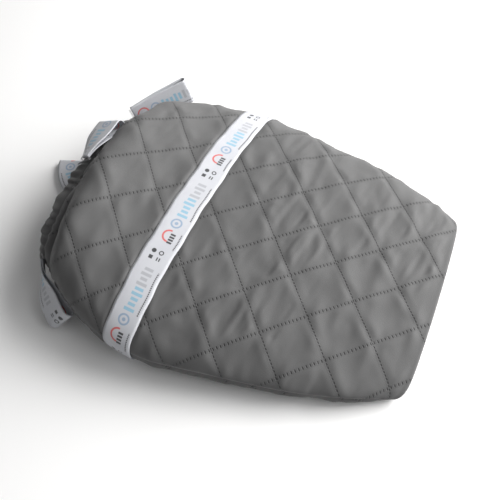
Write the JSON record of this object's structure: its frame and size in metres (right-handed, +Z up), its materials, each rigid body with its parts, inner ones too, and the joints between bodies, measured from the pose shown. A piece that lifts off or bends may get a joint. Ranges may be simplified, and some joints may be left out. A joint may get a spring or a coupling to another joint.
{
  "type": "elizabethan collar",
  "caption": "Soft quilted pet recovery collar lying flattened on its belly, with a gathered elastic neck, ribbon loops at the neck edge and a ribbon band round the body.",
  "frame": {"origin": "centre of the flat underside on which the collar rests", "axes": "+X from the gathered neck towards the open rim, +Y to the far side seam, +Z up"},
  "size_m": [0.392, 0.2771, 0.0816],
  "materials": {
    "shell_fabric": "matt woven polyester, quilted",
    "lining_fabric": "matt woven polyester",
    "wadding": "soft polyester fleece",
    "seam_tape": "matt tape",
    "elastic": "woven elastic",
    "ribbon": "satin printed ribbon",
    "thread": "thread"
  },
  "bodies": {
    "collar": {"upper_face_fabric": "shell_fabric", "upper_wadding": "wadding", "upper_lining": "lining_fabric", "lower_face_fabric": "shell_fabric", "lower_wadding": "wadding", "lower_lining": "lining_fabric", "near_seam_tape": "seam_tape", "far_seam_tape": "seam_tape", "upper_neck_casing": "shell_fabric", "lower_neck_casing": "shell_fabric", "neck_elastic": "elastic", "upper_loop_tack": "thread", "near_loop_tack": "thread", "far_loop_tack": "thread", "lower_loop_tack": "thread"},
    "band": {"ribbon_band": "ribbon", "ribbon_band_lap": "ribbon"},
    "upper_loop": {"upper_collar_loop": "ribbon"},
    "near_loop": {"near_collar_loop": "ribbon"},
    "far_loop": {"far_collar_loop": "ribbon"},
    "lower_loop": {"lower_collar_loop": "ribbon"}
  },
  "joints": [
    {"name": "band_slide", "type": "slide", "parent": "collar", "child": "band", "axis": [1, 0, 0], "range_m": [0, 0.24]},
    {"name": "upper_loop_flop", "type": "hinge", "parent": "collar", "child": "upper_loop", "pos_m": [-0.066, 0.002, 0.066], "axis": [0.7915, 0, 0.6112], "range_deg": [0, 150]},
    {"name": "near_loop_flop", "type": "hinge", "parent": "collar", "child": "near_loop", "pos_m": [-0.0665, -0.0855, 0.031], "axis": [0.3289, -0.094, 0.9397], "range_deg": [-140, 0]},
    {"name": "far_loop_flop", "type": "hinge", "parent": "collar", "child": "far_loop", "pos_m": [-0.0665, 0.0866, 0.037], "axis": [-0.287, 0.0478, 0.9567], "range_deg": [-8, 140]},
    {"name": "lower_loop_flop", "type": "hinge", "parent": "collar", "child": "lower_loop", "pos_m": [-0.077, 0.006, 0.003], "axis": [0, 1, 0], "range_deg": [0, 75]}
  ]
}
